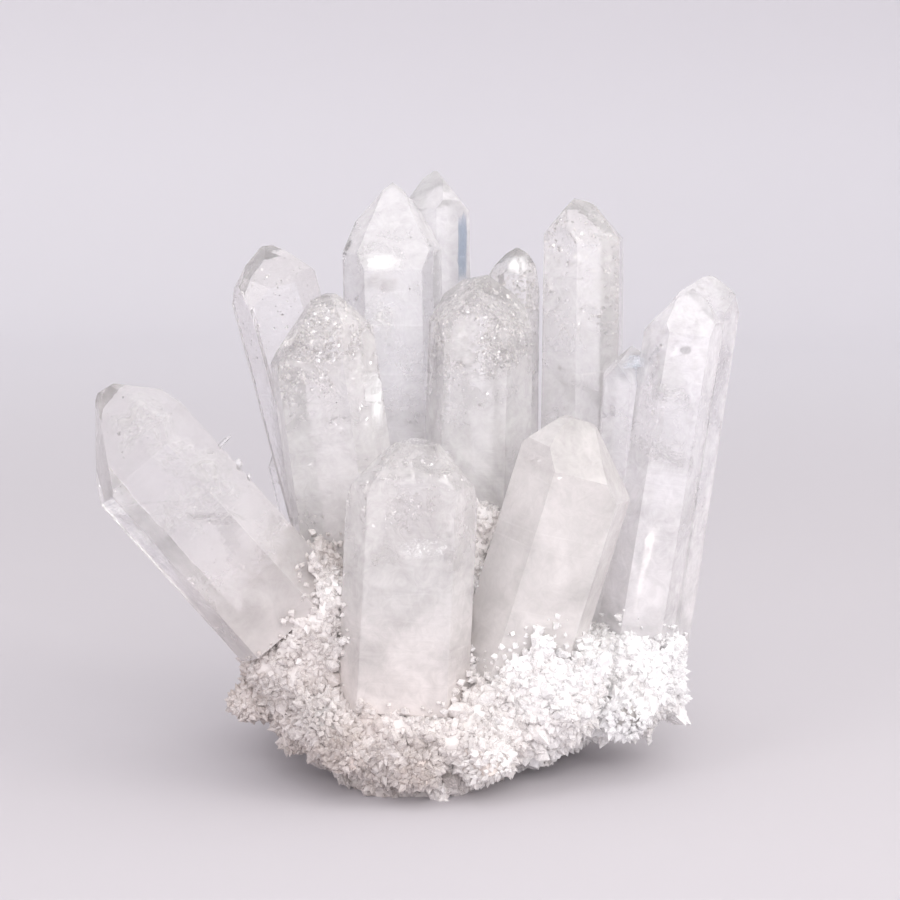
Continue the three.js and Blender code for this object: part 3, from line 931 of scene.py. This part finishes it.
crustMesh = crustBody()
stainAndShadeValues = [stainAndShadeAt(v.co) for v in crustMesh.vertices]
setAttribute(crustMesh, "stain_and_shade", stainAndShadeValues)
crust = addObject("crust_body", crustMesh, crustQuartz())
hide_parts("druse_crust")
print("crust body:", len(crustMesh.polygons))

crystalTrees = [shape["tree"] for name, shape in shapes.items() if not name.startswith("rim_point")]
crustTree = shapeOf(frame["nodes"]["druse_crust"].data, Vector((0, 0, 1)))["tree"]


def gapToCrystals(point):
    # distance to the nearest large crystal, negative inside one
    return min(-depthInside(tree, point) for tree in crystalTrees)


def smallSpot(place, direction, width, length, sunk, unevenness):
    # one small crystal, its root sunk in by a share of its length
    if place.z + direction.z * length < crustSettings["floorGap"]:
        direction.z = abs(direction.z)
    return (place - direction * length * sunk, direction, width, length, rng.uniform(0, 6.28),
            stainAndShadeAt(place) + rng.normal(0, unevenness))


def drusePiece(name, shape, mesh, count, rng, widths, slimness, spread, sunk, gap, wanted, material):
    # small crystals stand on a mesh, out along its faces with some spread
    spots = []
    places, normals = spotsOn(mesh, max(count * 3, 5000), rng)
    for place, normal in zip(places, normals):
        if len(spots) >= count:
            break
        place, normal = Vector(place), Vector(normal)
        if not wanted(place, normal) or gapToCrystals(place) < gap:
            continue
        direction = (normal + Vector(rng.normal(0, spread, 3))).normalized()
        width = (widths[0] + (widths[1] - widths[0]) * rng.random() ** 2.2) * mm
        length = width * rng.uniform(*slimness)
        spots.append(smallSpot(place, direction, width, length, sunk, 0.06))
    crystalField(name, spots, material, shape)
    return len(spots)


druse = sugaryDruse()
crustMesh.calc_loop_triangles()
counts = [
    drusePiece(name, smallPoint(), crustMesh, crustSettings["fine"], rng, (0.55, 1.5), (1.1, 1.8), 0.42,
               0.38, -0.1 * mm, lambda place, normal: place.z > 0.4 * mm or normal.z > -0.6, druse)
    for name in ("druse_fine_a", "druse_fine_b")
]
counts.append(drusePiece(
    "druse_coarse", smallCrystal(), crustMesh, crustSettings["coarse"], rng, (1.3, 2.7), (1.1, 1.6), 0.32,
    0.42, 0.6 * mm, lambda place, normal: place.z > 1.2 * mm, druse))
counts.append(drusePiece(
    "druse_rim", smallCrystal(), crustMesh, crustSettings["rim"], rng, (1.8, 3.4), (1.5, 2.0), 0.25, 0.45,
    0.8 * mm, lambda place, normal: 0.8 * mm < place.z < 13 * mm and abs(normal.z) < 0.85, druse))

# small crystals climb the roots of the large ones
collarSpots = []
for nodeName in crystals:
    source = frame["nodes"][nodeName].data
    source.calc_loop_triangles()
    reach = 7.0 if nodeName.startswith("rim_point") else 3.0
    places, normals = spotsOn(source, 5000, rng)
    for place, normal in zip(places, normals):
        place, normal = Vector(place), Vector(normal)
        gap = -depthInside(crustTree, place)
        if gap < -1.0 * mm or gap > 9 * mm:
            continue
        sugary = max(-1, min(1, place.x / (26 * mm)))
        climb = reach * (0.62 + 0.4 * sugary) + 1.6 * noise.noise(place * 150 + Vector((3, 1, 7)))
        climb = max(climb, 6.0 if nodeName.startswith("rim_point") else 1.3) * mm
        share = max(0.0, gap / climb)
        if share > 1 or rng.random() < share ** 1.5:
            continue
        direction = (normal + axes[nodeName] * 0.35 + Vector(rng.normal(0, 0.4, 3))).normalized()
        width = (0.55 + 1.3 * rng.random() ** 1.8) * (1 - 0.65 * share) * mm
        length = width * rng.uniform(1.1, 1.7)
        collarSpots.append(smallSpot(place, direction, width, length, 0.3, 0.05))
rng.shuffle(collarSpots)
collarFound = len(collarSpots)
collarSpots = collarSpots[: crustSettings["collar"]]
crystalField("druse_collar", collarSpots, druse, smallPoint())
print("druse:", counts, collarFound, len(collarSpots))


# slivers broken off or grown on the large crystals
slivers = [
    # crystal, place near its face in mm, direction, width, length
    ("crystal_far_left", (-27.8, -16.0, 46.2), (0.72, 0.05, 0.68), 0.75, 3.2),
    ("crystal_far_left", (-24.9, -16.4, 43.6), (0.2, -0.2, 0.95), 1.5, 2.0),
    ("crystal_far_left", (-23.4, -16.0, 42.3), (0.5, -0.1, 0.8), 1.0, 1.5),
]
sliverSpots = []
for nodeName, place, direction, width, length in slivers:
    direction = Vector(direction).normalized()
    base = shapes[nodeName]["tree"].find_nearest(Vector(place) * mm)[0]
    root = base - direction * 0.35 * mm
    sliverSpots.append((root, direction, width * mm, length * mm, rng.uniform(0, 6.28), -0.1))
crystalField("quartz_slivers", sliverSpots, quartz["white"], smallCrystal())


# camera, stage and light

view = {"aim": Vector((3.92, -6.91, 44.7)) * mm, "elevation": 8.0, "distance": 350 * mm, "lens": 100.0}
tilt = math.radians(view["elevation"])
back = Vector((0, -math.cos(tilt), math.sin(tilt)))
cameraData = bpy.data.cameras.new("camera")
cameraData.lens = view["lens"]
cameraData.clip_start, cameraData.clip_end = 0.01, 20
camera = bpy.data.objects.new("camera", cameraData)
scene.collection.objects.link(camera)
camera.location = view["aim"] + back * view["distance"]
camera.rotation_euler = (-back).to_track_quat("-Z", "Y").to_euler()
scene.camera = camera

stage = {
    "floorRadius": 0.62,
    "curve": 0.3,
    "wall": 0.42,
    # the paper's tone under the object, far from it, up the wall and well off to the left; under the object
    # and off to the left it is painted shade
    "near": "#cbc7cb",
    "far": "#e6e4e9",
    "top": "#dad7dc",
    "left": "#aeaab2",
}


def seamlessStage():
    # a round sweep of paper: flat floor, a wide curve and a low wall all round
    profile = [(0.0, 0.0), (0.1, 0.0), (0.25, 0.0), (stage["floorRadius"], 0.0)]
    for i in range(1, 13):
        angle = math.pi / 2 * i / 12
        out, up = stage["curve"] * math.sin(angle), stage["curve"] * (1 - math.cos(angle))
        profile.append((stage["floorRadius"] + out, up))
    profile.append((stage["floorRadius"] + stage["curve"], stage["wall"]))
    sides = 96
    vertices = [(0, 0, 0)]
    for radius, height in profile[1:]:
        for side in range(sides):
            angle = 2 * math.pi * side / sides
            vertices.append((radius * math.cos(angle), radius * math.sin(angle), height))
    faces = [(0, 1 + side, 1 + (side + 1) % sides) for side in range(sides)]
    for ring in range(len(profile) - 2):
        for side in range(sides):
            a = 1 + ring * sides + side
            b = 1 + ring * sides + (side + 1) % sides
            faces.append((a + sides, b + sides, b, a))
    mesh = meshFrom("paper_sweep", vertices, faces)
    mesh.shade_smooth()
    return mesh


def mattePaper():
    # matte background paper with no shine; painted shade makes it darker under the object and well off to
    # the left, and it is a little darker up the wall
    material, tree, output, place = newMaterial("matte_paper")
    flat = addNode(tree, "ShaderNodeVectorMath", {"operation": "LENGTH"}, {0: place})
    outward = addNode(tree, "ShaderNodeMapRange", {"interpolation_type": "SMOOTHSTEP"}, {
        "Value": flat.outputs["Value"], "From Min": 0.15, "From Max": 0.7, "To Min": 0.0, "To Max": 1.0})
    tone = addNode(tree, "ShaderNodeMixRGB", None, {
        "Fac": outward.outputs[0], "Color1": linear(stage["near"]), "Color2": linear(stage["far"])})
    rise = addNode(tree, "ShaderNodeMapRange", {"interpolation_type": "SMOOTHSTEP"}, {
        "Value": flat.outputs["Value"], "From Min": 0.8, "From Max": 0.95, "To Min": 0.0, "To Max": 1.0})
    tone = addNode(tree, "ShaderNodeMixRGB", None, {
        "Fac": rise.outputs[0], "Color1": tone.outputs[0], "Color2": linear(stage["top"])})
    # painted shade: a darker stretch well off to the left gives the left faces their shade
    split = addNode(tree, "ShaderNodeSeparateXYZ", None, {"Vector": place})
    leftward = addNode(tree, "ShaderNodeMapRange", {"interpolation_type": "SMOOTHSTEP"}, {
        "Value": split.outputs["X"], "From Min": -0.28, "From Max": -0.5, "To Min": 0.0, "To Max": 1.0})
    tone = addNode(tree, "ShaderNodeMixRGB", None, {
        "Fac": leftward.outputs[0], "Color1": tone.outputs[0], "Color2": linear(stage["left"])})
    surface = addNode(tree, "ShaderNodeBsdfPrincipled", None, {
        "Base Color": tone.outputs[0], "Roughness": 0.9, "Specular IOR Level": 0.1})
    tree.links.new(surface.outputs[0], output.inputs["Surface"])
    return material


sweepMesh = seamlessStage()
sweep = bpy.data.objects.new("paper_sweep", sweepMesh)
sweepMesh.materials.append(mattePaper())
scene.collection.objects.link(sweep)

lamps = {
    # place, size across, watts and colour
    "key": {"at": (0.52, -0.24, 0.28), "size": 0.46, "power": 1.15, "colour": "#fffaf4"},
    "top": {"at": (0.0, 0.05, 0.62), "size": 0.7, "power": 0.6, "colour": "#fdfbff"},
    "frontFill": {"at": (0.1, -0.7, 0.36), "size": 0.5, "power": 2.3, "colour": "#fffdff"},
    "leftFill": {"at": (-0.5, -0.48, 0.3), "size": 0.42, "power": 1.1, "colour": "#fdf9f8"},
    "glint": {"at": (0.3, -0.42, 0.4), "size": 0.03, "power": 0.12, "colour": "#ffffff"},
}
for name, lamp in lamps.items():
    data = bpy.data.lights.new(name, "AREA")
    data.shape = "DISK"
    data.size = lamp["size"]
    data.energy = lamp["power"]
    data.color = linear(lamp["colour"])[:3]
    light = bpy.data.objects.new(name, data)
    light.location = lamp["at"]
    light.rotation_euler = (Vector((0, 0, 0.035)) - light.location).to_track_quat("-Z", "Y").to_euler()
    light.visible_camera = False
    scene.collection.objects.link(light)

world = bpy.data.worlds.new("studio")
world.use_nodes = True
tree = world.node_tree
tree.nodes.clear()
direction = addNode(tree, "ShaderNodeTexCoord").outputs["Generated"]
split = addNode(tree, "ShaderNodeSeparateXYZ", None, {"Vector": direction})
sideways = addNode(tree, "ShaderNodeMapRange", {"clamp": True}, {
    "Value": split.outputs["X"], "From Min": -0.8, "From Max": 0.8, "To Min": 0.0, "To Max": 1.0})
tone = addNode(tree, "ShaderNodeMixRGB", None, {
    "Fac": sideways.outputs[0], "Color1": linear("#c6c3c8"), "Color2": linear("#fbf9f9")})
sky = addNode(tree, "ShaderNodeBackground", None, {"Color": tone.outputs[0], "Strength": 1.08})
worldOutput = tree.nodes.new("ShaderNodeOutputWorld")
tree.links.new(sky.outputs[0], worldOutput.inputs["Surface"])
scene.world = world

scene.view_settings.view_transform = "Standard"
scene.view_settings.look = "None"
scene.view_settings.gamma = 1.1  # a little veiling haze
scene.cycles.max_bounces = 12
scene.cycles.transmission_bounces = 12
scene.cycles.transparent_max_bounces = 12
scene.cycles.glossy_bounces = 10
scene.cycles.diffuse_bounces = 4
scene.cycles.adaptive_threshold = 0.08
scene.cycles.sample_clamp_indirect = 8.0
print("stage and light set")
